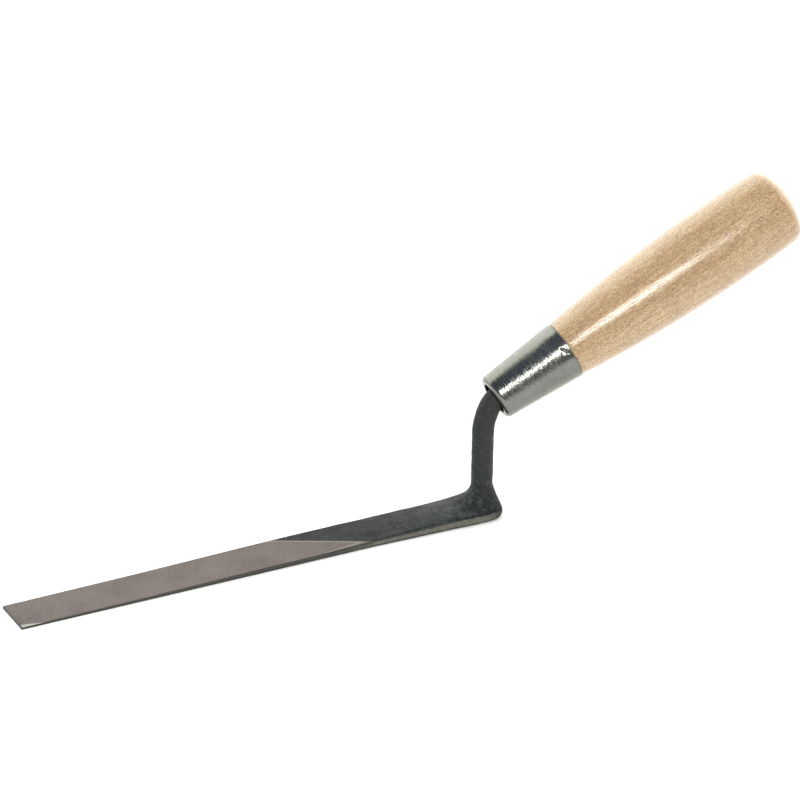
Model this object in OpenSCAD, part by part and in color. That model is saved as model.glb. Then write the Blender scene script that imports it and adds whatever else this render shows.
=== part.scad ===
// Tuck pointer: a narrow pointing trowel that pushes mortar into brick joints.
// Three pieces: a forging (blade, heel, shank and tang in one), a steel ferrule, and a
// turned hardwood handle. The tang is driven into the handle and the ferrule stops the
// wood from splitting. Millimetres. +X runs from the tip towards the handle, Z = 0 is
// the sole, and the origin is on the sole below the middle of the upright shank.

/* [Blade] */
// Width of the blade, 5/8 in
blade_w = 15.875; // [14:0.125:20]
// Working length, from the tip to the front of the shank's flare, 6 3/4 in
blade_l = 171.45; // [150:1:200]
// Thickness at the tip
tip_t = 0.9; // [0.6:0.1:1.2]
// Length from the tip of the thinnest, most flexible part
thin_l = 50; // [30:1:60]
// Thickness where that part ends
thin_t = 1.3; // [1:0.1:1.6]
// Thickness where the ground face ends
grind_t = 2.1; // [1.6:0.1:2.6]
// Distance from the tip to where the ground face ends
grind_l = 110; // [90:1:120]
// Thickness of the heel at its sides
heel_t = 3.2; // [3:0.1:4.2]
// Rise of the heel's upper face from its sides to its middle
heel_crown = 0.9; // [0.2:0.1:1]

/* [Heel and shank] */
// Width of the heel beside the shank, where forging spread it
heel_w = 18.4; // [16:0.1:20]
// Diameter of the round shank
shank_d = 7.7; // [6.5:0.1:8.5]
// Distance from the shank's axis back to the end of the heel
heel_back = 5.4; // [4.6:0.1:7]
// Corner radius of the heel's end, seen from above
heel_corner_r = 4.6; // [3:0.1:5]
// Radius of the fillet between the shank and the heel
flare_r = 7.5; // [5:0.1:9]
// Radius of the lower, gentle part of the bend
bend_low_r = 21; // [15:0.5:30]
// Angle that the lower part of the bend turns
bend_low_a = 28; // [15:1:35]
// Radius of the upper, tight part of the bend
bend_high_r = 9; // [7:0.5:11]

/* [Tang] */
// Width of the square tang where it leaves the shank
tang_w = 4.8; // [4:0.1:5.4]
// Width of the tang at its end
tang_end_w = 2.4; // [1.5:0.1:3.5]
// Length of the tang inside the wood
tang_l = 40; // [30:1:80]

/* [Ferrule] */
// Length of the ferrule
ferrule_l = 30.2; // [24:0.1:36]
// Outer diameter at the front, behind the rounded shoulder
ferrule_front_d = 16.5; // [15:0.1:18]
// Outer diameter at the rear
ferrule_rear_d = 21.3; // [19:0.1:23]
// Wall thickness
ferrule_wall = 0.8; // [0.6:0.1:1.2]
// Radius of the shoulder where the front edge is turned in
shoulder_r = 1.8; // [1:0.1:2.5]
// Diameter of the hole that the shank goes through
mouth_d = 11.6; // [10.5:0.1:12.5]

/* [Handle] */
// Angle of the handle above the blade
handle_a = 25.3; // [20:0.1:28]
// Height above the sole where the handle's axis meets the shank's
axis_h = 41.5; // [38:0.1:45]
// Distance along the handle's axis from there to the front of the ferrule
grip_start = 4.4; // [4:0.1:6]
// Length of the ferrule and the wood together, about 5 in
grip_l = 126.4; // [115:0.1:140]
// Diameter of the wood where it meets the ferrule
neck_d = 20.7; // [19:0.1:22]
// Largest diameter of the wood
belly_d = 29.3; // [27:0.1:32]
// Distance from the ferrule's front to the largest diameter
belly_s = 99; // [85:1:104]
// Radius of the long curve behind the largest diameter
rear_curve_r = 400; // [200:10:600]
// Radius of the rounded shoulder at the butt
butt_shoulder_r = 4.5; // [2:0.1:5]
// Radius of the domed butt end
butt_crown_r = 26; // [22:1:40]

/* [Hidden] */

// Sides of round surfaces, of the long shallow arcs, and of the discs that a hull wraps
$fn = 128;
LONG_ARC_FN = 1024;
HULL_FN = 24;
// Sides of the shank, and the steps along the two parts of its bend
SHANK_SIDES = 32;
BEND_LOW_STEPS = 6;
BEND_HIGH_STEPS = 8;
// A cut passes this far beyond the face that it opens, and joined shapes overlap by it
CUT = 1;
// Thickness of the thin slices that a hull joins
SLICE = 0.4;
// Clearance between the wooden tenon and the ferrule's bore
TENON_GAP = 0.04;

// The blade's working length ends at this share of the flare's radius
flare_share = 0.57;
// Blade and heel stations, from the tip (negative X) to the heel's end
tip_x = -(blade_l + shank_d / 2 + flare_r * flare_share);
thin_x = tip_x + thin_l;
grind_x = tip_x + grind_l;
bar_x = -45;
root_x = -12;
// Thickness of the bar at its sides, and the rise of its upper face to the middle
bar_t = 2.5;
bar_crown = 0.3;
// Where across the bar that rise is taken, as shares of its half width
CROWN_SHARES = [-0.6:0.2:0.6];
// Radius of the long upper edges at those stations, and of the sole's edges
grind_edge_r = 0.3;
bar_edge_r = 1.2;
heel_edge_r = heel_t / 2;
sole_edge_r = 0.5;
heel_sole_r = 1.2;
// The barrel that rounds the flare off over the heel's sides
flare_barrel_r = 9.1;
flare_barrel_drop = 1.6;

// Where the bend starts and ends, so that it comes out along the handle's axis
bend_high_a = 90 - handle_a - bend_low_a;
bend_end_x = bend_low_r * (1 - cos(bend_low_a)) + bend_high_r * (cos(bend_low_a) - sin(handle_a));
bend_rise = bend_low_r * sin(bend_low_a) + bend_high_r * (cos(handle_a) - sin(bend_low_a));
bend_z = axis_h + bend_end_x * tan(handle_a) - bend_rise;
bend_end_s = bend_end_x / cos(handle_a) - grip_start;

// Along the handle, distances s are counted from the ferrule's front
tenon_s = 8;
tang_root = 2;
ferrule_taper = (ferrule_rear_d - ferrule_front_d) / 2 / ferrule_l;
bore_front_r = ferrule_front_d / 2 - ferrule_wall;
// The one punched mark that locks the ferrule onto the wood
stake_a = 37;
stake_l = 4;
stake_r = 1;
stake_depth = 0.4;
// Distance from the middle of that mark to the ferrule's rear edge
stake_inset = 1.7;

// The wood's outline: a long front curve, a long rear curve, a shoulder and a crown.
// The rear curve gives way to the shoulder this far from the butt's end.
rear_curve_end = 6;
neck_drop = (belly_d - neck_d) / 2;
front_run = belly_s - ferrule_l;
front_curve_r = (pow(front_run, 2) + pow(neck_drop, 2)) / (2 * neck_drop);
shoulder_fall = pow(grip_l - rear_curve_end - belly_s, 2) / (2 * rear_curve_r);
shoulder_c_r = belly_d / 2 - shoulder_fall - butt_shoulder_r;
crown_c_s = grip_l - butt_crown_r;
crown_reach = butt_crown_r - butt_shoulder_r;
shoulder_c_s = crown_c_s + sqrt(pow(crown_reach, 2) - pow(shoulder_c_r, 2));

function ferrule_r(s) = ferrule_front_d / 2 + ferrule_taper * s;
function bore_r(s) = bore_front_r + ferrule_taper * s;

// Puts a shape whose Z axis is the handle's axis, with Z = 0 at the ferrule's front
module on_grip() {
    translate([0, 0, axis_h])
        rotate([0, 90 - handle_a, 0])
            translate([0, 0, grip_start])
                children();
}

// A thin disc that stands across the blade, one corner of a slice
module slice_disc(x, y, z, r) {
    translate([x, y, z])
        rotate([0, 90, 0])
            cylinder(r = r, h = SLICE, $fn = HULL_FN);
}

// One thin slice of the bar, of width w and thickness t at its sides: upper edges of
// radius r, small edges on the sole, and an upper face that rises by crown in the middle
module bar_slice(x, w, t, r, crown) {
    for (side = [-1, 1]) {
        slice_disc(x, side * (w / 2 - r), t - r, r);
        slice_disc(x, side * (w / 2 - sole_edge_r), sole_edge_r, sole_edge_r);
    }
    for (share = CROWN_SHARES)
        slice_disc(x, share * w / 2, t + crown * (1 - pow(share, 2)) - r, r);
}

// A ring that rounds the heel's end both from above and in section
module heel_ring(z, r) {
    for (side = [-1, 1])
        translate([heel_back - heel_corner_r, side * (heel_w / 2 - heel_corner_r), z])
            rotate_extrude($fn = HULL_FN)
                translate([heel_corner_r - r, 0])
                    circle(r = r, $fn = HULL_FN);
}

// The flat blade, thin at the tip and square-edged
module ground_blade() {
    rotate([90, 0, 0])
        linear_extrude(blade_w, center = true)
            polygon([
                [tip_x, 0],
                [grind_x + SLICE, 0],
                [grind_x + SLICE, grind_t],
                [thin_x, thin_t],
                [tip_x, tip_t]
            ]);
}

// The thicker bar behind it, as forged, with its rounded end under the shank
module forged_bar() {
    hull() {
        bar_slice(grind_x, blade_w, grind_t, grind_edge_r, 0);
        bar_slice(bar_x, blade_w, bar_t, bar_edge_r, bar_crown);
    }
    hull() {
        bar_slice(bar_x, blade_w, bar_t, bar_edge_r, bar_crown);
        bar_slice(root_x, heel_w, heel_t, heel_edge_r, heel_crown);
    }
    hull() {
        bar_slice(root_x, heel_w, heel_t, heel_edge_r, heel_crown);
        heel_ring(heel_t - heel_edge_r, heel_edge_r);
        heel_ring(heel_sole_r, heel_sole_r);
    }
}

// The heel's outline from above, drawn in from its edge by inset
module heel_outline(inset) {
    corner_r = heel_corner_r - inset;
    corner_y = heel_w / 2 - heel_corner_r;
    back_x = heel_back - heel_corner_r;
    translate([root_x, -(heel_w / 2 - inset)])
        square([back_x - root_x, heel_w - 2 * inset]);
    translate([back_x - CUT, -corner_y])
        square([CUT + corner_r, 2 * corner_y]);
    for (side = [-1, 1])
        translate([back_x, side * corner_y])
            circle(r = corner_r);
}

// The concave fillet that carries the shank into the heel, rounded off over the sides
module flare() {
    base_r = shank_d / 2 + flare_r;
    intersection() {
        translate([0, 0, heel_t])
            rotate_extrude()
                difference() {
                    translate([0, -heel_t / 2])
                        square([base_r, heel_t / 2 + flare_r]);
                    translate([base_r, flare_r])
                        circle(r = flare_r);
                }
        translate([0, 0, heel_t / 2])
            linear_extrude(flare_r + heel_t)
                heel_outline(0.5);
        translate([root_x, 0, -flare_barrel_drop])
            rotate([0, 90, 0])
                cylinder(r = flare_barrel_r, h = heel_back - root_x);
    }
}

// One ring of the shank: its centre, and how far the shank leans from upright there
function shank_ring(ring) = [
    for (i = [0:SHANK_SIDES - 1])
        let (around = 360 * i / SHANK_SIDES)
            [
                ring[0] + shank_d / 2 * cos(around) * cos(ring[2]),
                shank_d / 2 * sin(around),
                ring[1] - shank_d / 2 * cos(around) * sin(ring[2])
            ]
];

// The round shank: upright, through its two-part bend, then straight to the tang
module shank() {
    high_c_x = bend_low_r - (bend_low_r - bend_high_r) * cos(bend_low_a);
    high_c_z = bend_z + (bend_low_r - bend_high_r) * sin(bend_low_a);
    end_s = grip_start + tenon_s;
    rings = [
        [0, heel_t / 2, 0],
        for (i = [0:BEND_LOW_STEPS - 1])
            let (a = bend_low_a * i / BEND_LOW_STEPS)
                [bend_low_r * (1 - cos(a)), bend_z + bend_low_r * sin(a), a],
        for (i = [0:BEND_HIGH_STEPS])
            let (a = bend_low_a + bend_high_a * i / BEND_HIGH_STEPS)
                [high_c_x - bend_high_r * cos(a), high_c_z + bend_high_r * sin(a), a],
        [end_s * cos(handle_a), axis_h + end_s * sin(handle_a), 90 - handle_a]
    ];
    last = len(rings) - 1;
    polyhedron(
        points = [for (ring = rings) each shank_ring(ring)],
        faces = [
            [for (i = [0:SHANK_SIDES - 1]) i],
            for (j = [0:last - 1], i = [0:SHANK_SIDES - 1])
                let (next = (i + 1) % SHANK_SIDES, low = j * SHANK_SIDES, high = low + SHANK_SIDES)
                    [low + i, high + i, high + next, low + next],
            [for (i = [SHANK_SIDES - 1:-1:0]) last * SHANK_SIDES + i]
        ]
    );
}

// The square tang, tapering on all four sides. The wood's socket has the same shape.
module tang() {
    taper = [
        [-tang_w / 2, -tang_root],
        [tang_w / 2, -tang_root],
        [tang_end_w / 2, tang_l],
        [-tang_end_w / 2, tang_l]
    ];
    on_grip()
        translate([0, 0, tenon_s])
            intersection() {
                rotate([90, 0, 0])
                    linear_extrude(tang_w, center = true)
                        polygon(taper);
                rotate([90, 0, 90])
                    linear_extrude(tang_w, center = true)
                        polygon(taper);
            }
}

module blade_forging() {
    color([0.27, 0.29, 0.28]) {
        ground_blade();
        forged_bar();
        flare();
        shank();
        tang();
    }
}

// Section of the ferrule's outside, from its turned-in front to its rear edge
module ferrule_outside() {
    shoulder_y = ferrule_r(shoulder_r) - shoulder_r;
    translate([shoulder_y, shoulder_r])
        circle(r = shoulder_r);
    polygon([
        [0, 0],
        [shoulder_y, 0],
        [shoulder_y, shoulder_r],
        [ferrule_r(shoulder_r), shoulder_r],
        [ferrule_r(ferrule_l), ferrule_l],
        [0, ferrule_l]
    ]);
}

module ferrule() {
    color([0.74, 0.75, 0.73])
        on_grip()
            difference() {
                rotate_extrude()
                    ferrule_outside();
                translate([0, 0, -CUT])
                    cylinder(d = mouth_d, h = ferrule_wall + 2 * CUT);
                translate([0, 0, ferrule_wall])
                    cylinder(
                        r1 = bore_r(ferrule_wall),
                        r2 = bore_r(ferrule_l + CUT),
                        h = ferrule_l + CUT - ferrule_wall
                    );
                stake_mark();
            }
}

// The punch mark: a short groove across the ferrule, near its rear edge
module stake_mark() {
    stake_s = ferrule_l - stake_inset;
    rotate([0, 0, -90 - stake_a])
        translate([ferrule_r(stake_s) - stake_depth + stake_r, 0, stake_s])
            rotate([90, 0, 0])
                cylinder(r = stake_r, h = stake_l, center = true);
}

// Section of the wood behind the ferrule, bounded by four arcs
module handle_section() {
    intersection() {
        translate([belly_d / 2 - front_curve_r, belly_s])
            circle(r = front_curve_r, $fn = LONG_ARC_FN);
        translate([0, ferrule_l])
            square([belly_d, front_run]);
    }
    intersection() {
        translate([belly_d / 2 - rear_curve_r, belly_s])
            circle(r = rear_curve_r, $fn = LONG_ARC_FN);
        translate([0, belly_s])
            square([belly_d, shoulder_c_s - belly_s]);
    }
    translate([shoulder_c_r, shoulder_c_s])
        circle(r = butt_shoulder_r);
    intersection() {
        translate([0, crown_c_s])
            circle(r = butt_crown_r);
        polygon([
            [0, crown_c_s],
            [shoulder_c_r * 2, crown_c_s + 2 * (shoulder_c_s - crown_c_s)],
            [0, crown_c_s + 2 * (shoulder_c_s - crown_c_s)]
        ]);
    }
    polygon([
        [0, belly_s],
        [shoulder_c_r, belly_s],
        [shoulder_c_r, shoulder_c_s],
        [0, crown_c_s]
    ]);
}

module handle() {
    color([0.82, 0.69, 0.53])
        difference() {
            on_grip() {
                rotate_extrude()
                    intersection() {
                        handle_section();
                        square([belly_d, grip_l]);
                    }
                translate([0, 0, tenon_s])
                    cylinder(
                        r1 = bore_r(tenon_s) - TENON_GAP,
                        r2 = bore_r(ferrule_l) - TENON_GAP,
                        h = ferrule_l - tenon_s
                    );
            }
            tang();
        }
}

blade_forging();
ferrule();
handle();
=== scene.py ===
import math
import bpy
import numpy as np
from mathutils import Matrix, Vector, noise


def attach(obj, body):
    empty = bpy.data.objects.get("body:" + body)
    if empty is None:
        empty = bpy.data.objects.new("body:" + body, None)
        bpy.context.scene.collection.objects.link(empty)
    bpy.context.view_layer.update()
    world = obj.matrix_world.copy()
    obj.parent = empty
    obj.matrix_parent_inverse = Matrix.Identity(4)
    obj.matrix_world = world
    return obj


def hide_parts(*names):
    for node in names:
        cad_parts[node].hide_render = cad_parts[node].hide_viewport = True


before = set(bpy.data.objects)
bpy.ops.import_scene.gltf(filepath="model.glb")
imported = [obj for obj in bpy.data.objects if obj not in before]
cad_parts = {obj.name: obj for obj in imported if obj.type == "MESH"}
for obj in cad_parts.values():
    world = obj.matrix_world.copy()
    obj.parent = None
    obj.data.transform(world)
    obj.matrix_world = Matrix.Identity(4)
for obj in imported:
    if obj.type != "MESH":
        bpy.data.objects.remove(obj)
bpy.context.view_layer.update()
scene = bpy.context.scene
scene.view_settings.view_transform = "Standard"
MM = 0.001

# ---- camera ----
AIM = Vector((-32.8, 0.0, 51.3)) * MM
AZIMUTH, ELEVATION, ROLL = math.radians(-27.19), math.radians(28.77), math.radians(1.15)
DISTANCE = 2.4
LENS, SENSOR_WIDTH = 312.66, 36.0
FAR_CLIP = 20.0

back = Vector((
    math.sin(AZIMUTH) * math.cos(ELEVATION),
    -math.cos(AZIMUTH) * math.cos(ELEVATION),
    math.sin(ELEVATION),
))
right = Vector((math.cos(AZIMUTH), math.sin(AZIMUTH), 0.0))
up = back.cross(right)
cam_x = right * math.cos(ROLL) + up * math.sin(ROLL)
cam_y = up * math.cos(ROLL) - right * math.sin(ROLL)
camera_data = bpy.data.cameras.new("camera")
camera_data.lens = LENS
camera_data.sensor_width = SENSOR_WIDTH
camera_data.clip_end = FAR_CLIP
camera = bpy.data.objects.new("camera", camera_data)
scene.collection.objects.link(camera)
pose = Matrix((cam_x, cam_y, back)).transposed().to_4x4()
pose.translation = AIM + back * DISTANCE
camera.matrix_world = pose
scene.camera = camera


# ---- small node helpers ----
# The colour sockets of a Mix node
MIX_A, MIX_B, MIX_RESULT = 6, 7, 2


class Nodes:
    """Adds nodes to one node tree and links their sockets."""

    def __init__(self, tree):
        self.tree = tree

    def add(self, kind, **settings):
        node = self.tree.nodes.new(kind)
        for key, value in settings.items():
            setattr(node, key, value)
        return node

    def put(self, socket, value):
        """Links a socket to another one, or sets its value. A colour is given without its alpha."""
        if isinstance(value, bpy.types.NodeSocket):
            self.tree.links.new(value, socket)
        elif isinstance(value, tuple) and socket.type == "RGBA":
            socket.default_value = (*value, 1.0)
        else:
            socket.default_value = value

    def split(self, vector):
        """The X, Y and Z of a vector."""
        node = self.add("ShaderNodeSeparateXYZ")
        self.put(node.inputs["Vector"], vector)
        return tuple(node.outputs)

    def math(self, operation, a, b):
        node = self.add("ShaderNodeMath", operation=operation)
        self.put(node.inputs[0], a)
        self.put(node.inputs[1], b)
        return node.outputs[0]

    def ramp(self, factor, *stops):
        """A ramp through stops of (position, colour or grey level)."""
        node = self.add("ShaderNodeValToRGB")
        self.put(node.inputs["Fac"], factor)
        ramp = node.color_ramp
        while len(ramp.elements) < len(stops):
            ramp.elements.new(0.5)
        for element, (position, colour) in zip(ramp.elements, stops):
            element.position = position
            element.color = (*colour, 1.0) if isinstance(colour, tuple) else (colour, colour, colour, 1.0)
        return node.outputs["Color"]

    def fit(self, value, low, high, to_low=0.0, to_high=1.0, smooth=False):
        """Maps low..high to to_low..to_high, held at the ends."""
        node = self.add("ShaderNodeMapRange", interpolation_type="SMOOTHSTEP" if smooth else "LINEAR")
        keys = ("Value", "From Min", "From Max", "To Min", "To Max")
        for key, given in zip(keys, (value, low, high, to_low, to_high)):
            self.put(node.inputs[key], given)
        return node.outputs["Result"]

    def mix(self, factor, a, b):
        node = self.add("ShaderNodeMix", data_type="RGBA")
        self.put(node.inputs["Factor"], factor)
        self.put(node.inputs[MIX_A], a)
        self.put(node.inputs[MIX_B], b)
        return node.outputs[MIX_RESULT]


class MaterialNodes(Nodes):
    """The nodes of a new material, with its shader and the object point that its textures read."""

    def __init__(self, name):
        self.material = bpy.data.materials.new(name)
        self.material.use_nodes = True
        super().__init__(self.material.node_tree)
        self.shader = self.tree.nodes["Principled BSDF"]
        self.point = self.add("ShaderNodeTexCoord").outputs["Object"]

    def in_frame(self, matrix):
        """Measures the point in another frame, such as the handle's own."""
        node = self.add("ShaderNodeMapping", vector_type="TEXTURE")
        self.put(node.inputs["Vector"], self.point)
        node.inputs["Location"].default_value = matrix.to_translation()
        node.inputs["Rotation"].default_value = matrix.to_euler()
        self.point = node.outputs[0]

    def scaled(self, scale):
        node = self.add("ShaderNodeMapping")
        self.put(node.inputs["Vector"], self.point)
        node.inputs["Scale"].default_value = scale
        return node.outputs[0]

    def noise(self, vector, scale, detail, roughness, distortion=0.0):
        node = self.add("ShaderNodeTexNoise")
        keys = ("Vector", "Scale", "Detail", "Roughness", "Distortion")
        for key, given in zip(keys, (vector, scale, detail, roughness, distortion)):
            self.put(node.inputs[key], given)
        return node.outputs["Fac"]

    def attribute(self, name):
        return self.add("ShaderNodeAttribute", attribute_name=name).outputs["Fac"]

    def bump(self, height, distance, strength):
        node = self.add("ShaderNodeBump")
        self.put(node.inputs["Height"], height)
        node.inputs["Distance"].default_value = distance
        node.inputs["Strength"].default_value = strength
        return node.outputs["Normal"]

    def finish(self, **inputs):
        """Sets the shader's inputs, named with _ for a space, and returns the material."""
        for key, value in inputs.items():
            self.put(self.shader.inputs[key.replace("_", " ")], value)
        return self.material


# ---- floor and light ----
FLOOR_HALF = 3
FLOOR_PAINT = (0.93, 0.93, 0.93)
# The surroundings' colours, and the heights (up is 1) where the sweep ends and the ceiling starts
SWEEP_LOW, SWEEP_MID, SWEEP_TOP = (2.5, 2.5, 2.36), (2.5, 2.45, 2.3), (2.55, 2.55, 2.3)
CEILING_EDGE, CEILING = (0.13, 0.135, 0.10), (0.26, 0.30, 0.38)
FRONT_LOW, FRONT_HIGH = (0.40, 0.40, 0.38), (0.16, 0.18, 0.22)
SWEEP_END, CEILING_START = 0.80, 0.83

floor_mesh = bpy.data.meshes.new("floor")
floor_corners = [(x * FLOOR_HALF, y * FLOOR_HALF, 0) for x, y in ((-1, -1), (1, -1), (1, 1), (-1, 1))]
floor_mesh.from_pydata(floor_corners, [], [(0, 1, 2, 3)])
floor = bpy.data.objects.new("floor", floor_mesh)
scene.collection.objects.link(floor)
floor_mesh.materials.append(MaterialNodes("floor_paint").finish(Base_Color=FLOOR_PAINT, Roughness=0.9))


def soft_light(name, position, target, size, power, colour=(1, 1, 1), glossy=True):
    data = bpy.data.lights.new(name, "AREA")
    data.shape = "RECTANGLE"
    data.size, data.size_y = size
    data.energy = power
    data.color = colour
    lamp = bpy.data.objects.new(name, data)
    scene.collection.objects.link(lamp)
    lamp.location = position
    lamp.rotation_euler = (Vector(target) - Vector(position)).to_track_quat("-Z", "Y").to_euler()
    lamp.visible_glossy = glossy


def studio_world():
    """A pale sweep behind the tool, up to a sharp top edge, and a dim studio overhead and in front."""
    world = bpy.data.worlds.new("world")
    world.use_nodes = True
    n = Nodes(world.node_tree)
    direction = n.add("ShaderNodeTexCoord").outputs["Generated"]
    away = n.add("ShaderNodeVectorMath", operation="DOT_PRODUCT")
    n.put(away.inputs[0], direction)
    away.inputs[1].default_value = (-back.x, -back.y, 0.0)
    height = n.split(direction)[2]
    sweep = n.ramp(height, (0.0, SWEEP_LOW), (0.5, SWEEP_MID), (SWEEP_END, SWEEP_TOP),
                   (CEILING_START, CEILING_EDGE), (1.0, CEILING))
    front = n.ramp(height, (0.0, FRONT_LOW), (0.3, FRONT_LOW), (0.6, FRONT_HIGH), (1.0, CEILING))
    behind = n.ramp(away.outputs["Value"], (0.0, 0.0), (0.12, 1.0))
    n.put(n.tree.nodes["Background"].inputs["Color"], n.mix(behind, front, sweep))
    scene.world = world


studio_world()
soft_light("key", position=(-0.35, -1.15, 1.05), target=(0.02, 0, 0.05), size=(0.4, 0.22), power=15,
           colour=(1.0, 0.98, 0.93))
soft_light("top", position=(0.1, 0.45, 1.65), target=(0, 0, 0), size=(1.6, 1.6), power=13, glossy=False)

# ---- the forging's dimensions, millimetres ----
BLADE_W, BLADE_L = 15.875, 171.45
HEEL_W, HEEL_T, HEEL_BACK = 17.8, 3.2, 5.4
CROWN = 0.9
CORNER_R = 4.6
SHANK_R, FLARE_R = 3.84, 7.5
BEND_LOW_R, BEND_LOW_DEGREES, BEND_HIGH_R = 21.0, 28, 9.0
BEND_LOW_A = math.radians(BEND_LOW_DEGREES)
# The handle's axis rises at HANDLE_A and crosses the shank's own axis at the height AXIS_H
HANDLE_A, AXIS_H = math.radians(25.3), 41.5
GRIP_START, GRIP_L = 4.4, 126.4
TENON_S = 8.0
TANG_L, TANG_W, TANG_END_W = 40.0, 4.8, 2.4
# The blade is measured to this share of the flare's radius in front of the shank
FLARE_SHARE = 0.57
TIP_X = -(BLADE_L + SHANK_R + FLARE_R * FLARE_SHARE)
# The centre of the flare's arc, ahead of the shank
PIVOT_X, PIVOT_Z = -(SHANK_R + FLARE_R), HEEL_T + CROWN + FLARE_R
# Distance from the tip; thickness, then edge radius, on the far and near side; sole edge radius; top's rise
SECTIONS = np.array([
    (0, 0.95, 0.9, 0.1, 0.1, 0.1, 0),
    (50, 1.4, 1.2, 0.15, 0.15, 0.15, 0),
    (90, 2.15, 1.75, 0.2, 0.2, 0.2, 0),
    (110, 2.45, 1.8, 0.35, 0.25, 0.3, 0),
    (128, 2.75, 1.95, 0.9, 0.5, 0.35, 0.1),
    (137, 2.8, 2.2, 1.2, 1.4, 0.4, 0.3),
    (150, 2.75, 2.7, 1.8, 1.9, 0.45, 0.6),
    (164, 2.75, 3.15, 2.5, 2.1, 0.5, 0.9),
    (178, 2.9, 3.1, 2.5, 2.1, 0.8, 0.9),
    (185, 3.1, 3.1, 2.3, 2.1, 2.2, 0.9),
])
FAR_T, NEAR_T, FAR_EDGE, NEAR_EDGE, SOLE_EDGE, RISE = range(1, 7)
# X and half the outline's width there
HALF_WIDTHS = np.array([
    (TIP_X, BLADE_W / 2),
    (-45, BLADE_W / 2),
    (-14, HEEL_W / 2),
    (-6, HEEL_W / 2 + 0.5),
    (5, HEEL_W / 2 + 0.45),
])
# The line across the blade where the ground face ends: X in the middle, and its run along X per unit of Y
LINE_X, LINE_SLOPE = TIP_X + 117.1, 2.1
# Distance from the tip; height and width of the bright stripe along the near side: worn steel, painted
# brighter as the rounded edge's highlight
STRIPE = np.array([
    (90, 1.0, 0.8),
    (100, 1.0, 0.7),
    (124, 1.15, 0.65),
    (137, 1.2, 0.55),
    (150, 1.4, 0.6),
    (164, 1.5, 0.8),
])


def step(x, low, high):
    t = np.clip((x - low) / (high - low), 0, 1)
    return t * t * (3 - 2 * t)


def bell(offset, width):
    return np.exp(-(offset / width) ** 2)


def rounded_and(a, b, r):
    return np.minimum(np.maximum(a, b), -r) + np.hypot(np.maximum(a + r, 0), np.maximum(b + r, 0))


def rounded_or(a, b, r):
    return np.maximum(r, np.minimum(a, b)) - np.hypot(np.maximum(r - a, 0), np.maximum(r - b, 0))


def section(x, column):
    return np.interp(x - TIP_X, SECTIONS[:, 0], SECTIONS[:, column])


def half_width(x):
    return np.interp(x, HALF_WIDTHS[:, 0], HALF_WIDTHS[:, 1])


def beyond_line(x, y):
    """Distance past the line where the ground face ends, towards the heel."""
    return (x - LINE_X + LINE_SLOPE * y) / math.hypot(1, LINE_SLOPE)


def near_share(y):
    """0 at the blade's far side, 1 at its near side."""
    return np.clip(0.5 - y / BLADE_W, 0, 1)


def side_height(x, y):
    near = near_share(y)
    return section(x, FAR_T) * (1 - near) + section(x, NEAR_T) * near


def edge_radius(x, y):
    near = step(near_share(y), 0.2, 0.8)
    return section(x, FAR_EDGE) * (1 - near) + section(x, NEAR_EDGE) * near


def top_height(x, y):
    return side_height(x, y) + section(x, RISE) * (1 - (y / half_width(x)) ** 2)


def forging_field(x, y, z):
    """Negative inside the heel, bar and lower shank."""
    above = z - top_height(x, y)
    column = np.hypot(x, y) - SHANK_R
    body = rounded_or(above, column, FLARE_R)
    outline = rounded_and(np.abs(y) - half_width(x), x - HEEL_BACK, CORNER_R)
    # The edges get sharper as the flare rises
    edge = edge_radius(x, y) * np.interp(z, [5, 11], [1, 0.3])
    body = rounded_and(body, outline, edge)
    return rounded_and(body, -z, section(x, SOLE_EDGE))


# One ring: far side, over the top to the near side, and back below
TOP_COUNT, ARC_COUNT = 27, 11
RING = 2 * (1 + TOP_COUNT + 2 * ARC_COUNT)


def ring_plan():
    """For each point of a ring: its share across, whether it is above or below, and its direction."""
    arc = np.radians(np.linspace(4, 86, ARC_COUNT))
    across = np.linspace(1, -1, TOP_COUNT + 2)[1:-1]
    rows = [(1.0, 0.0, 0.0)]
    rows += [(1.0, 1.0, a) for a in arc]
    rows += [(share, 1.0, math.pi / 2) for share in across]
    rows += [(-1.0, 1.0, math.pi / 2 + a) for a in arc]
    rows += [(-1.0, 0.0, math.pi)]
    rows += [(-1.0, -1.0, math.pi + a) for a in arc]
    rows += [(-share, -1.0, math.pi * 1.5) for share in across]
    rows += [(1.0, -1.0, math.pi * 1.5 + a) for a in arc]
    return np.array(rows)


PLAN = ring_plan()
ACROSS, LEVEL, DIRECTION = PLAN.T
EVEN = np.arange(RING) * 2 * math.pi / RING
CAST_REACH, CAST_STEPS, CAST_HALVINGS = 24.0, 240, 24


def by_level(top, side, sole):
    """One value for a ring's points above, another for its two side points, and another for those below."""
    return np.where(LEVEL > 0, top, np.where(LEVEL < 0, sole, side))


def cast(start, direction):
    """The first way out of the forging's field along each ray."""
    steps = np.linspace(0, CAST_REACH, CAST_STEPS)
    p = start[:, None, :] + direction[:, None, :] * steps[None, :, None]
    out = forging_field(p[..., 0], p[..., 1], p[..., 2]) > 0
    first = np.maximum(out.argmax(1), 1)
    low, high = steps[first - 1], steps[first]
    for _ in range(CAST_HALVINGS):
        middle = (low + high) / 2
        q = start + direction * middle[:, None]
        outside = forging_field(q[:, 0], q[:, 1], q[:, 2]) > 0
        high = np.where(outside, middle, high)
        low = np.where(outside, low, middle)
    return start + direction * ((low + high) / 2)[:, None]


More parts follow.
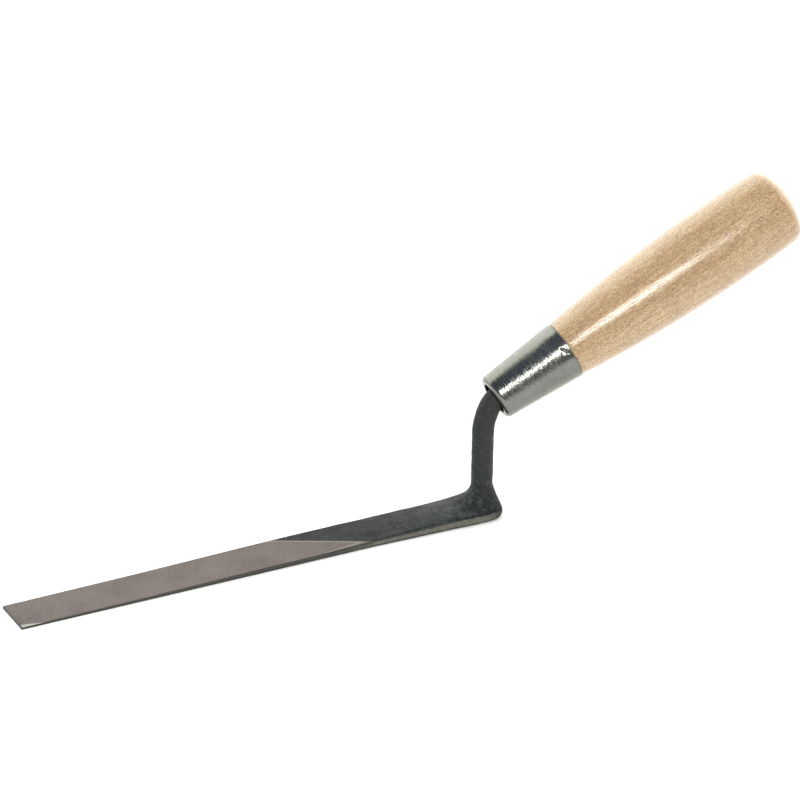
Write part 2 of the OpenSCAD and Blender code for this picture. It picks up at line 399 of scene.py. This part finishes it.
def bar_ring(station, skew):
    """A ring across the bar. Skew leans it along the slanting line, in X per unit of Y."""
    about_half = 8
    x = station - skew * ACROSS * about_half
    side = ACROSS * about_half
    edge, sole, side_t = edge_radius(x, side), section(x, SOLE_EDGE), side_height(x, side)
    inset = np.where(LEVEL < 0, sole, edge)
    y = ACROSS * (half_width(x) - inset)
    z = by_level(side_t - edge, (side_t - edge + sole) / 2, sole)
    start = np.stack([station - skew * y, y, z], -1)
    dy, dz = np.cos(DIRECTION), np.sin(DIRECTION)
    return cast(start, np.stack([-skew * dy, dy, dz], -1))


def fan_ring(turn):
    """A ring in a plane that turns about the flare's pivot, from upright to level."""
    edge, sole = 2.25, 0.5
    # The way down to the heel gets longer as the plane turns, up to the steepest angle
    steepest, stretch = 0.9, 6
    share = step(turn, math.radians(8), math.radians(80))
    y = ACROSS * (HEEL_W / 2 - np.where(LEVEL < 0, sole, edge)) * (1 - share)
    u0 = PIVOT_Z - by_level(HEEL_T - edge, (HEEL_T - edge + sole) / 2, sole)
    u = (u0 + (1 / math.cos(min(turn, steepest)) - 1) * stretch) * (1 - share) + (FLARE_R + SHANK_R) * share
    angle = DIRECTION * (1 - share) + EVEN * share
    out, side = np.sin(angle), np.cos(angle)
    ux, uz = math.sin(turn), -math.cos(turn)
    start = np.stack([PIVOT_X + u * ux, y, PIVOT_Z + u * uz], -1)
    return cast(start, np.stack([-out * ux, side, -out * uz], -1))


def tube_ring(centre, lean, radius):
    """A level ring of the shank, leaned over towards the handle."""
    out, side = radius * np.sin(EVEN), radius * np.cos(EVEN)
    return np.stack([centre[0] - out * math.cos(lean), side, centre[1] + out * math.sin(lean)], -1)


def shank_rings():
    """Straight up, round a wide bend and a tight one, along the handle's axis, and down to the tang's end."""
    spacing = 0.8
    centres_apart = BEND_LOW_R - BEND_HIGH_R
    high_x = BEND_LOW_R - centres_apart * math.cos(BEND_LOW_A)
    high_z = centres_apart * math.sin(BEND_LOW_A)
    end_x = high_x - BEND_HIGH_R * math.sin(HANDLE_A)
    end_z = high_z + BEND_HIGH_R * math.cos(HANDLE_A)
    bend_z = AXIS_H + end_x * math.tan(HANDLE_A) - end_z
    lean = math.pi / 2 - HANDLE_A

    def on_axis(s):
        return s * math.cos(HANDLE_A), AXIS_H + s * math.sin(HANDLE_A)

    rings = []
    for z in np.arange(PIVOT_Z + spacing, bend_z, spacing):
        rings.append(tube_ring((0, z), 0, SHANK_R))
    for a in np.radians(np.arange(0, BEND_LOW_DEGREES, 1.5)):
        centre = (BEND_LOW_R * (1 - math.cos(a)), bend_z + BEND_LOW_R * math.sin(a))
        rings.append(tube_ring(centre, a, SHANK_R))
    for a in np.linspace(BEND_LOW_A, lean, 16):
        centre = (high_x - BEND_HIGH_R * math.cos(a), bend_z + high_z + BEND_HIGH_R * math.sin(a))
        rings.append(tube_ring(centre, a, SHANK_R))
    first = end_x / math.cos(HANDLE_A)
    for s in np.arange(first + spacing, GRIP_START + TENON_S - 1, spacing):
        rings.append(tube_ring(on_axis(s), lean, SHANK_R))
    square = 1 / np.maximum(np.abs(np.cos(EVEN)), np.abs(np.sin(EVEN)))
    for s in (0.0, 0.5, TANG_L / 2, TANG_L):
        width = TANG_W + (TANG_END_W - TANG_W) * s / TANG_L
        rings.append(tube_ring(on_axis(GRIP_START + TENON_S + s), lean, square * width / 2))
    return rings


def skin(name, rings):
    """A closed skin over the rings. Its ends are closed with strips between opposite points."""
    count = len(rings[0])
    points = np.concatenate(rings) * MM
    faces = []
    for i in range(len(rings) - 1):
        for j in range(count):
            k = (j + 1) % count
            faces.append((i * count + j, (i + 1) * count + j, (i + 1) * count + k, i * count + k))
    last = (len(rings) - 1) * count
    for j in range(count // 2):
        corners = tuple(dict.fromkeys((j, j + 1, (count - j - 1) % count, (count - j) % count)))
        faces.append(corners)
        faces.append(tuple(last + v for v in reversed(corners)))
    mesh = bpy.data.meshes.new(name)
    mesh.from_pydata(points.tolist(), [], faces)
    mesh.update()
    mesh.validate()
    return mesh


def signed_volume(mesh):
    mesh.calc_loop_triangles()
    v = np.array([p.co for p in mesh.vertices])
    t = np.array([tri.vertices for tri in mesh.loop_triangles])
    return float(np.einsum("ij,ij->i", v[t[:, 0]], np.cross(v[t[:, 1]], v[t[:, 2]])).sum() / 6)


# ---- forging ----
def mark_wear_and_highlights(mesh):
    """Stores where the forging is worn bright or carries a painted highlight, where its scale is blue
    (bloom), and a painted shade line in a fold.
    """
    p = np.array([v.co for v in mesh.vertices]) / MM
    n = np.array([v.normal for v in mesh.vertices])
    x, y, z = p.T
    line = beyond_line(x, y)
    station = x - TIP_X

    near_side = (y < 0) & (n[:, 1] < -0.3) & (z > 0.3) & (x < 5)
    middle = np.interp(station, STRIPE[:, 0], STRIPE[:, 1])
    spread = np.interp(station, STRIPE[:, 0], STRIPE[:, 2])
    softness = np.interp(station, [100, 140, 165], [0.05, 0.12, 0.3])
    stripe = np.exp(-np.clip(np.abs(z - middle) - spread * 0.5, 0, 9) ** 2 / softness) * near_side
    stripe *= 1 - 0.3 * step(x, -60, -35)
    stripe *= 1 - step(x, -3.0, 4.0)
    # A pale line on the ground side of the slanting line: a burr, painted brighter as its highlight
    along_line = bell(line + 0.15, 0.35) * (n[:, 2] > 0.5) * (x < -30)
    far_side = (y > 0) & (n[:, 1] > 0.5) & (z > 0.35) & (line < -0.3)
    tip_side = (n[:, 0] < -0.7) & (z < 5) & (x < -100) & (z > 0.3)
    # Worn bright steel on the far side and the tip's side joins the painted highlights
    wear_and_highlight = np.clip(stripe + along_line * 0.6 + far_side * 0.6 + tip_side * 0.5, 0, 1)
    # A fainter painted highlight on the heel's near side, where its rounded edge catches the light
    heel_stripe = 0.3 * bell(z - 2.45, 0.35) * near_side * step(x, -26, -12) * (1 - step(x, 1, 5))
    wear_and_highlight = np.clip(wear_and_highlight + heel_stripe, 0, 1)

    foot = bell(np.hypot(x + 8.5, y + 1.5), 7.5) * (z < 14)
    bar = 0.45 * step(x, -62, -20) * (z < 7)
    shank = 0.25 * (z >= 7)
    bloom = np.clip(foot + bar + shank, 0, 1)

    # Painted shade: a dark line along the fold above the heel's near side
    fold = bell(z - 3.05 - 0.03 * (x + 6), 0.28) * (y < 0) * step(x, -22, -8)
    fold_shade = np.clip(fold * step(n[:, 0] - n[:, 1], 0.05, 0.4) * 0.75, 0, 1)
    for name, values in (("wear_and_highlight", wear_and_highlight), ("bloom", bloom), ("fold_shade", fold_shade)):
        mesh.attributes.new(name, "FLOAT", "POINT").data.foreach_set("value", values.astype(np.float32))


def ripple(mesh, share, size, height):
    """Moves each point along its normal by a smooth noise, as hammering and pressing leave it."""
    moved = []
    for v in mesh.vertices:
        place = Vector(v.co[i] / MM / size[i] for i in range(3))
        moved.append(v.co + v.normal * noise.noise(place) * height * MM * share(v.co / MM))
    for v, place in zip(mesh.vertices, moved):
        v.co = place


def forged_share(p):
    """No ripple on the flat sole, on the ground blade, or from about the ferrule's mouth upwards."""
    ferrule_mouth = 44
    behind = float(step(p.x, LINE_X + 2, LINE_X + 20))
    off_sole = float(step(p.z, 0.1, 1.2))
    return behind * off_sole * (1.0 if p.z < ferrule_mouth else 0.0)


def bar_stations():
    """Places of the bar's rings, close together at the tip and around the slanting line."""
    before = [0.1, 2.5, 6, 12, 20, 30, 40, 50, 60, 68, 76, 83, 89, 94, 98, 102, 105, 107.5,
              109.5, 111, 112.5, 113.6, 114.4, 114.9, 115.1]
    after = [0.0, 0.15, 0.4, 0.9, 1.7, 3, 4.5, 6.5]
    return np.concatenate([
        TIP_X + np.array(before),
        LINE_X + np.array(after),
        np.arange(TIP_X + 124, -14, 2.0),
        [-12.7],
    ])


def bar_skew(station):
    """The rings lean fully at the slanting line, and not at all near the tip and the heel."""
    if station < LINE_X:
        return LINE_SLOPE * step(station, TIP_X + 50, LINE_X - 1)
    return LINE_SLOPE * (1 - step(station, LINE_X + 1, TIP_X + 165))


def tip_rings(first):
    """Two rings in front of the first one, drawn in a little, that round the square tip."""
    middle = first.mean(0)
    rings = []
    for inset, x in ((0.1, 0.0), (0.045, 0.02)):
        ring = first.copy()
        ring[:, 0] = TIP_X + x
        ring[:, 1] -= np.sign(ring[:, 1]) * np.minimum(inset, np.abs(ring[:, 1]))
        ring[:, 2] = middle[2] + (ring[:, 2] - middle[2]) * (1 - inset / 0.45)
        rings.append(ring)
    return rings


def forging():
    stations = bar_stations()
    bar = [bar_ring(station, bar_skew(station)) for station in stations]
    ends = tip_rings(bar[0])
    fan = [fan_ring(math.radians(a)) for a in np.arange(0, 90.01, 0.9)]
    mesh = skin("blade_forging_skin", ends + bar + fan + shank_rings())
    if signed_volume(mesh) < 0:
        mesh.flip_normals()
    mark_wear_and_highlights(mesh)
    ripple(mesh, forged_share, (5.0, 3.2, 3.2), 0.12)
    # The ground steel covers the top, the sides and the tip, up to the slanting line
    grind_ring = len(ends) + int(np.argmin(np.abs(stations - LINE_X)))
    above_sole = TOP_COUNT + 2 * ARC_COUNT + 2
    for polygon in mesh.polygons:
        ring, place = divmod(min(polygon.vertices), RING)
        before_line = ring < grind_ring and max(polygon.vertices) < (grind_ring + 1) * RING
        polygon.material_index = 1 if place <= above_sole and before_line else 0
    mesh.shade_smooth()
    mesh.set_sharp_from_angle(angle=math.radians(40))
    return mesh


def forged_material():
    """Black scale, cloudy and grainy, blue where it blooms, bright where it is worn or carries a painted
    highlight, and dark along a painted shade line.
    """
    black, charcoal, grey = (0.013, 0.015, 0.014), (0.019, 0.022, 0.021), (0.029, 0.032, 0.031)
    shank_grey, grain_grey, bloom_blue = (0.042, 0.046, 0.044), (0.040, 0.043, 0.040), (0.12, 0.15, 0.17)
    worn_and_highlit_steel, speck_grey, fold_shade_black = (0.23, 0.215, 0.18), (0.22, 0.25, 0.26), (0.006, 0.007, 0.006)
    n = MaterialNodes("forged_steel_scale")
    p = n.point
    cloud = n.noise(p, 120, 4, 0.6, 0.4)
    fine = n.noise(p, 1300, 4, 0.65)
    patches = n.noise(p, 420, 4, 0.65, 0.8)
    specks = n.ramp(n.noise(p, 1500, 1, 0.5), (0.72, 0.0), (0.77, 1.0))
    colour = n.ramp(cloud, (0.3, black), (0.55, charcoal), (0.75, grey))
    z = n.split(p)[2]
    colour = n.mix(n.fit(z, 4.0 * MM, 12.0 * MM, 0.0, 0.5), colour, shank_grey)
    colour = n.mix(n.fit(fine, 0.40, 0.70, 0.0, 0.5), colour, grain_grey)
    thin = n.math("MULTIPLY", n.fit(patches, 0.44, 0.70, 0.0, 0.75), n.fit(fine, 0.42, 0.62, 0.2, 1.0))
    colour = n.mix(n.math("MULTIPLY", thin, n.attribute("bloom")), colour, bloom_blue)
    # Worn steel and the painted highlights along the near side and the slanting line
    rubbed_and_highlit = n.math("MULTIPLY", n.attribute("wear_and_highlight"), n.fit(fine, 0.3, 0.6, 0.55, 1.0))
    colour = n.mix(rubbed_and_highlit, colour, worn_and_highlit_steel)
    colour = n.mix(n.math("MULTIPLY", specks, 0.5), colour, speck_grey)
    # Painted shade along the fold above the heel
    colour = n.mix(n.attribute("fold_shade"), colour, fold_shade_black)
    metal = n.math("MAXIMUM", n.math("MULTIPLY", rubbed_and_highlit, 0.6), 0.06)
    rough = n.fit(n.math("ADD", cloud, n.math("MULTIPLY", fine, 0.5)), 0.5, 1.0, 0.60, 0.42)
    height = n.math("ADD", n.math("MULTIPLY", patches, 0.6), n.math("MULTIPLY", fine, 0.45))
    return n.finish(Base_Color=colour, Roughness=rough, Metallic=metal, Specular_IOR_Level=0.08,
                    Normal=n.bump(height, 0.2 * MM, 0.7))


def ground_material():
    """Ground steel with lengthwise lines, dark far and tip rims, painted shade on the near side, a painted
    highlight line along it and a painted glint by the tip.
    """
    dull, pale, grit_pale = (0.070, 0.056, 0.054), (0.108, 0.090, 0.087), (0.130, 0.111, 0.108)
    worn_and_highlit_steel, rim_dark, highlight_pale = (0.27, 0.255, 0.24), (0.045, 0.042, 0.04), (0.22, 0.21, 0.19)
    side_dark, side_pale, foot_dark = (0.055, 0.055, 0.048), (0.105, 0.100, 0.084), (0.03, 0.03, 0.028)
    glint_bright = (0.33, 0.32, 0.31)
    n = MaterialNodes("ground_steel")
    p = n.point
    lines = n.noise(n.scaled((60, 500, 60)), 10, 3, 0.6)
    cloud = n.noise(p, 90, 3, 0.55)
    grit = n.noise(p, 1500, 3, 0.6)
    colour = n.ramp(cloud, (0.3, dull), (0.7, pale))
    colour = n.mix(n.fit(grit, 0.38, 0.65, 0.0, 0.65), colour, grit_pale)
    # Worn steel on the sides, with the painted highlights along the slanting line and the near side
    colour = n.mix(n.attribute("wear_and_highlight"), colour, worn_and_highlit_steel)

    x, y, z = n.split(p)
    from_far = n.math("SUBTRACT", BLADE_W / 2 * MM, y)
    from_near = n.math("ADD", BLADE_W / 2 * MM, y)
    from_tip = n.math("SUBTRACT", x, TIP_X * MM)
    inset = n.math("MINIMUM", from_far, from_tip)
    colour = n.mix(n.fit(inset, 0.16 * MM, 0.34 * MM, 0.75, 0.0), colour, rim_dark)

    # The near side's shade widens over the last stretch before the slanting line's end at the near edge
    line_end = LINE_X + LINE_SLOPE * BLADE_W / 2
    run = n.fit(x, (line_end - 25.0) * MM, line_end * MM)
    past = n.math("SUBTRACT", from_near, n.math("MULTIPLY", n.math("MULTIPLY", run, run), 2.0 * MM))
    # A painted highlight line along the near edge, growing towards the slanting line's end
    edge_highlight = n.math("MULTIPLY", n.fit(past, 0.1 * MM, 0.3 * MM), n.fit(past, 0.8 * MM, 0.5 * MM))
    colour = n.mix(n.math("MULTIPLY", edge_highlight, n.fit(run, 0.0, 0.6, 0.0, 0.9)), colour, highlight_pale)
    side_colour = n.mix(n.fit(run, 0.5, 1.0), side_dark, side_pale)
    colour = n.mix(n.fit(past, 0.06 * MM, 0.22 * MM, 0.9, 0.0), colour, side_colour)
    colour = n.mix(n.fit(z, 0.22 * MM, 0.40 * MM, 0.85, 0.0), colour, foot_dark)

    # A painted glint by the near corner of the tip
    glint_reach = n.math("ADD", from_near, n.math("MULTIPLY", from_tip, 0.22))
    glint_reach = n.math("ADD", glint_reach, n.math("MULTIPLY", n.math("SUBTRACT", grit, 0.5), 0.8 * MM))
    on_top = n.fit(z, 0.75 * MM, 0.85 * MM)
    glint = n.math("MULTIPLY", n.fit(glint_reach, 1.5 * MM, 2.1 * MM, 1.0, 0.0), n.fit(inset, 0.3 * MM, 0.5 * MM))
    glint = n.math("MULTIPLY", glint, on_top)
    colour = n.mix(n.math("MULTIPLY", glint, n.fit(grit, 0.3, 0.55, 0.5, 1.0)), colour, glint_bright)
    rough = n.fit(lines, 0.3, 0.7, 0.36, 0.50)
    height = n.math("ADD", lines, n.math("MULTIPLY", grit, 0.5))
    return n.finish(Base_Color=colour, Roughness=rough, Metallic=0.9, Normal=n.bump(height, 0.04 * MM, 0.6))


blade_mesh = forging()
blade_mesh.materials.append(forged_material())
blade_mesh.materials.append(ground_material())
blade = bpy.data.objects.new("blade_and_shank", blade_mesh)
scene.collection.objects.link(blade)
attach(blade, "root")
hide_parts("blade_forging")

# ---- lathe-turned pieces, in the handle's own frame: s is the distance along its axis, millimetres ----
FERRULE_L, FRONT_R, REAR_R = 30.2, 8.25, 10.65
WALL, SHOULDER_R, MOUTH_R = 0.8, 1.8, 5.8
TAPER = (REAR_R - FRONT_R) / FERRULE_L
NECK_R, BELLY_R, BELLY_S, REAR_CURVE_R = 10.35, 14.65, 99.0, 400.0
BUTT_R, CROWN_R = 4.5, 26.0
# The tenon's clearance in the ferrule, and the gap between the ferrule and the wood behind it
TENON_GAP, JOINT_GAP = 0.04, 0.25
TURN_SIDES = 192

to_axis = Matrix.Translation((0, 0, AXIS_H * MM)) @ Matrix.Rotation(math.pi / 2 - HANDLE_A, 4, "Y")
grip = to_axis @ Matrix.Translation((0, 0, GRIP_START * MM))


def ferrule_r(s):
    return FRONT_R + TAPER * s


def bore_r(s):
    return FRONT_R - WALL + TAPER * s


def arc(centre_r, centre_s, radius, start, end, count):
    """Points of (radius, distance along) on an arc, from start to end degrees."""
    angles = np.radians(np.linspace(start, end, count))
    return [(centre_r + radius * math.cos(t), centre_s + radius * math.sin(t)) for t in angles]


def turned(name, profile, loop):
    """Turns a profile of (radius, distance along) about the handle's axis."""
    angles = np.arange(TURN_SIDES) * 2 * math.pi / TURN_SIDES
    points, rows, faces = [], [], []
    for r, s in profile:
        if r < 1e-6:
            rows.append([len(points)] * TURN_SIDES)
            points.append((0, 0, s))
        else:
            rows.append(list(range(len(points), len(points) + TURN_SIDES)))
            points += [(r * math.cos(t), r * math.sin(t), s) for t in angles]
    following = rows[1:] + rows[:1] if loop else rows[1:]
    for low, high in zip(rows, following):
        for j in range(TURN_SIDES):
            k = (j + 1) % TURN_SIDES
            faces.append(tuple(dict.fromkeys((low[j], low[k], high[k], high[j]))))
    mesh = bpy.data.meshes.new(name)
    mesh.from_pydata([tuple(c * MM for c in p) for p in points], [], faces)
    mesh.update()
    mesh.validate()
    return mesh


def ferrule_profile():
    """Mouth's lip, shoulder, outside, rear edge, and back along the bore."""
    lip_r, rear_r, inner_r = 0.3, 0.25, 0.7
    shoulder = ferrule_r(SHOULDER_R) - SHOULDER_R
    path = arc(MOUTH_R + lip_r, WALL - lip_r, lip_r, 90, 180, 4)
    path += arc(MOUTH_R + lip_r, lip_r, lip_r, 180, 270, 5)
    path += arc(shoulder, SHOULDER_R, SHOULDER_R, -90, 0, 16)
    path += [(ferrule_r(s), s) for s in np.arange(SHOULDER_R + 0.6, FERRULE_L - 0.5, 0.3)]
    path += arc(REAR_R - rear_r, FERRULE_L - rear_r, rear_r, 0, 90, 5)
    path += [(bore_r(FERRULE_L), FERRULE_L)]
    path += [(bore_r(s), s) for s in np.linspace(FERRULE_L - 0.2, WALL + 0.8, 12)]
    path += arc(bore_r(WALL) - inner_r, WALL + inner_r, inner_r, 0, -90, 5)
    return path


def ferrule_share(p):
    """Ripple on the ferrule's outside only."""
    return float(math.hypot(p.x, p.y) > ferrule_r(p.z) - 0.3)


def press_stake(mesh):
    """Pushes the one punch mark into the ferrule's outside: a flattened spot split by a slanting cut."""
    spot_angle, spot_s = math.radians(-127), FERRULE_L - 1.9
    half_across, half_along = 1.5, 1.7
    cut_slant, cut_width, cut_depth = 0.45, 0.30, 0.30
    for v in mesh.vertices:
        r, s = math.hypot(v.co.x, v.co.y) / MM, v.co.z / MM
        if r < ferrule_r(s) - 0.3 or s < 20:
            continue
        off = (math.atan2(v.co.y, v.co.x) - spot_angle + math.pi) % (2 * math.pi) - math.pi
        across = off * r
        inside = float(1 - step(abs(across), half_across - 0.1, half_across + 0.1))
        inside *= float(1 - step(abs(s - spot_s), half_along - 0.5, half_along))
        flat = r * math.cos(half_across / r) / math.cos(off) if abs(across) < half_across else r
        offset = s - spot_s - cut_slant * across
        cut = math.exp(-(offset / cut_width) ** 2) * inside * cut_depth
        k = (r + (flat - r) * inside - cut) / r
        v.co.x *= k
        v.co.y *= k


def handle_profile():
    """Socket, tenon, a front curve up to the belly, a flatter one behind it, and the domed butt."""
    edge = 0.3
    socket_r = TANG_W * 0.72
    front_curve_r = ((BELLY_S - FERRULE_L) ** 2 + (BELLY_R - NECK_R) ** 2) / (2 * (BELLY_R - NECK_R))
    fall = (GRIP_L - 6 - BELLY_S) ** 2 / (2 * REAR_CURVE_R)
    shoulder_r = BELLY_R - fall - BUTT_R
    crown_s = GRIP_L - CROWN_R
    shoulder_s = crown_s + math.sqrt((CROWN_R - BUTT_R) ** 2 - shoulder_r ** 2)

    def tenon_r(s):
        return bore_r(s) - TENON_GAP

    path = [(0, TENON_S + TANG_L + 1), (socket_r, TENON_S + TANG_L), (socket_r, TENON_S)]
    path += [(tenon_r(TENON_S) - 0.4, TENON_S), (tenon_r(TENON_S + 0.4), TENON_S + 0.4)]
    path += [(tenon_r(FERRULE_L - 0.1), FERRULE_L - 0.1), (tenon_r(FERRULE_L), FERRULE_L + JOINT_GAP)]
    path += arc(NECK_R + 0.02 - edge, FERRULE_L + JOINT_GAP + edge, edge, -90, 0, 5)
    for s in np.arange(FERRULE_L + 1, BELLY_S, 1.0):
        path.append((BELLY_R - front_curve_r + math.sqrt(front_curve_r ** 2 - (s - BELLY_S) ** 2), s))
    for s in np.arange(BELLY_S, shoulder_s - 0.3, 1.0):
        path.append((BELLY_R - REAR_CURVE_R + math.sqrt(REAR_CURVE_R ** 2 - (s - BELLY_S) ** 2), s))
    meet = math.degrees(math.atan2(shoulder_s - crown_s, shoulder_r))
    path += arc(shoulder_r, shoulder_s, BUTT_R, 4, meet, 14)
    path += arc(0, crown_s, CROWN_R, meet + 0.8, 89, 24)
    path.append((0, GRIP_L))
    return path


def plated_material():
    """Plating scuffed along its length on all but the far side, duller at its two ends, and with painted
    shade at its front lip.
    """
    dull, pale = (0.155, 0.160, 0.148), (0.200, 0.204, 0.188)
    hair_pale, lip_shade = (0.27, 0.275, 0.26), (0.16, 0.17, 0.16)
    n = MaterialNodes("plated_steel_brushed")
    n.in_frame(grip)
    p = n.point
    lines = n.noise(n.scaled((0.12, 0.12, 4.0)), 560, 3, 0.65)
    hair = n.noise(n.scaled((0.2, 0.2, 4.0)), 1500, 2, 0.6)
    blotch = n.noise(n.scaled((1.0, 1.0, 2.2)), 620, 4, 0.7, 0.6)
    cloud = n.noise(p, 160, 4, 0.6, 0.6)
    colour = n.ramp(cloud, (0.3, dull), (0.7, pale))
    colour = n.mix(n.fit(hair, 0.45, 0.75, 0.0, 0.4), colour, hair_pale)
    y, along = n.split(p)[1:]
    front_end = n.fit(along, 2.0 * MM, 4.0 * MM, 0.25, 1.0)
    rear_end = n.fit(along, (FERRULE_L - 5.5) * MM, (FERRULE_L - 3.5) * MM, 1.0, 0.25)
    ends = n.math("MULTIPLY", front_end, rear_end)
    brushed = n.math("MULTIPLY", n.fit(y, 6.5 * MM, 4.0 * MM, 0.1, 1.0), ends)
    streaks = n.math("MULTIPLY", n.fit(lines, 0.42, 0.66, 0.0, 1.0), brushed)
    worn = n.math("MULTIPLY", n.ramp(blotch, (0.47, 0.0), (0.58, 1.0)), brushed)
    scuffs = n.math("MAXIMUM", n.math("MULTIPLY", streaks, 0.9), worn)
    rough = n.math("ADD", n.fit(cloud, 0.3, 0.7, 0.05, 0.10), n.math("MULTIPLY", scuffs, 0.24))
    rough = n.math("ADD", rough, n.fit(ends, 0.25, 1.0, 0.1, 0.0))
    # Painted shade on the front face and shoulder by the mouth
    colour = n.mix(n.fit(along, 0.4 * MM, 1.6 * MM, 0.6, 0.0), colour, lip_shade)
    height = n.math("MULTIPLY", n.math("ADD", lines, n.math("MULTIPLY", blotch, 0.9)), brushed)
    return n.finish(Base_Color=colour, Roughness=rough, Metallic=1.0, Normal=n.bump(height, 0.14 * MM, 0.8))


def wood_material():
    """Pale hardwood with bands, streaks, flecks and pores along it, under a slightly uneven lacquer."""
    brown, tan, straw = (0.375, 0.240, 0.125), (0.430, 0.285, 0.152), (0.475, 0.325, 0.182)
    streak_dark, streak_pale = (0.28, 0.16, 0.075), (0.66, 0.50, 0.30)
    pore_dark, pore_pale = (0.25, 0.145, 0.075), (0.70, 0.55, 0.35)
    fleck_dark, rim_gold = (0.21, 0.115, 0.055), (0.50, 0.36, 0.17)
    n = MaterialNodes("lacquered_beech")
    n.in_frame(grip)
    bands = n.noise(n.scaled((1.0, 1.0, 0.05)), 260, 3, 0.55, 0.4)
    streaks = n.noise(n.scaled((1.0, 1.0, 0.07)), 1300, 4, 0.7, 0.25)
    flecks = n.ramp(n.noise(n.scaled((1.0, 1.0, 0.2)), 2400, 2, 0.55), (0.56, 0.0), (0.64, 1.0))
    pores = n.noise(n.scaled((1.0, 1.0, 0.5)), 2400, 3, 0.65)
    orange_peel = n.noise(n.scaled((1.0, 1.0, 0.6)), 2300, 2, 0.6)
    colour = n.ramp(bands, (0.3, brown), (0.5, tan), (0.7, straw))
    colour = n.mix(n.fit(streaks, 0.48, 0.72, 0.0, 0.75), colour, streak_dark)
    colour = n.mix(n.fit(streaks, 0.46, 0.28, 0.0, 0.6), colour, streak_pale)
    colour = n.mix(n.math("MULTIPLY", flecks, 0.6), colour, fleck_dark)
    colour = n.mix(n.fit(pores, 0.50, 0.68, 0.0, 0.7), colour, pore_dark)
    colour = n.mix(n.fit(pores, 0.50, 0.32, 0.0, 0.6), colour, pore_pale)
    along = n.split(n.point)[2]
    rim = n.fit(along, (GRIP_L - 5.0) * MM, (GRIP_L - 2.5) * MM, smooth=True)
    colour = n.mix(n.math("MULTIPLY", rim, 0.45), colour, rim_gold)
    grain = n.math("ADD", pores, n.math("MULTIPLY", streaks, 0.35))
    height = n.math("SUBTRACT", grain, n.math("MULTIPLY", flecks, 0.4))
    return n.finish(Base_Color=colour, Roughness=0.45, Specular_IOR_Level=0.25,
                    Coat_Weight=0.9, Coat_Roughness=0.13,
                    Normal=n.bump(height, 0.12 * MM, 1.0), Coat_Normal=n.bump(orange_peel, 0.07 * MM, 1.0))


def turned_piece(name, mesh, material, node, sharp_degrees):
    mesh.transform(grip)
    if signed_volume(mesh) < 0:
        mesh.flip_normals()
    mesh.shade_smooth()
    mesh.set_sharp_from_angle(angle=math.radians(sharp_degrees))
    mesh.materials.append(material)
    piece = bpy.data.objects.new(name, mesh)
    scene.collection.objects.link(piece)
    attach(piece, "root")
    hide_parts(node)


ferrule_mesh = turned("ferrule_shell", ferrule_profile(), loop=True)
ripple(ferrule_mesh, ferrule_share, (2.2, 2.2, 1.1), 0.022)
press_stake(ferrule_mesh)
turned_piece("ferrule_shell", ferrule_mesh, plated_material(), "ferrule", 40)
handle_mesh = turned("turned_handle", handle_profile(), loop=False)
turned_piece("turned_handle", handle_mesh, wood_material(), "handle", 50)
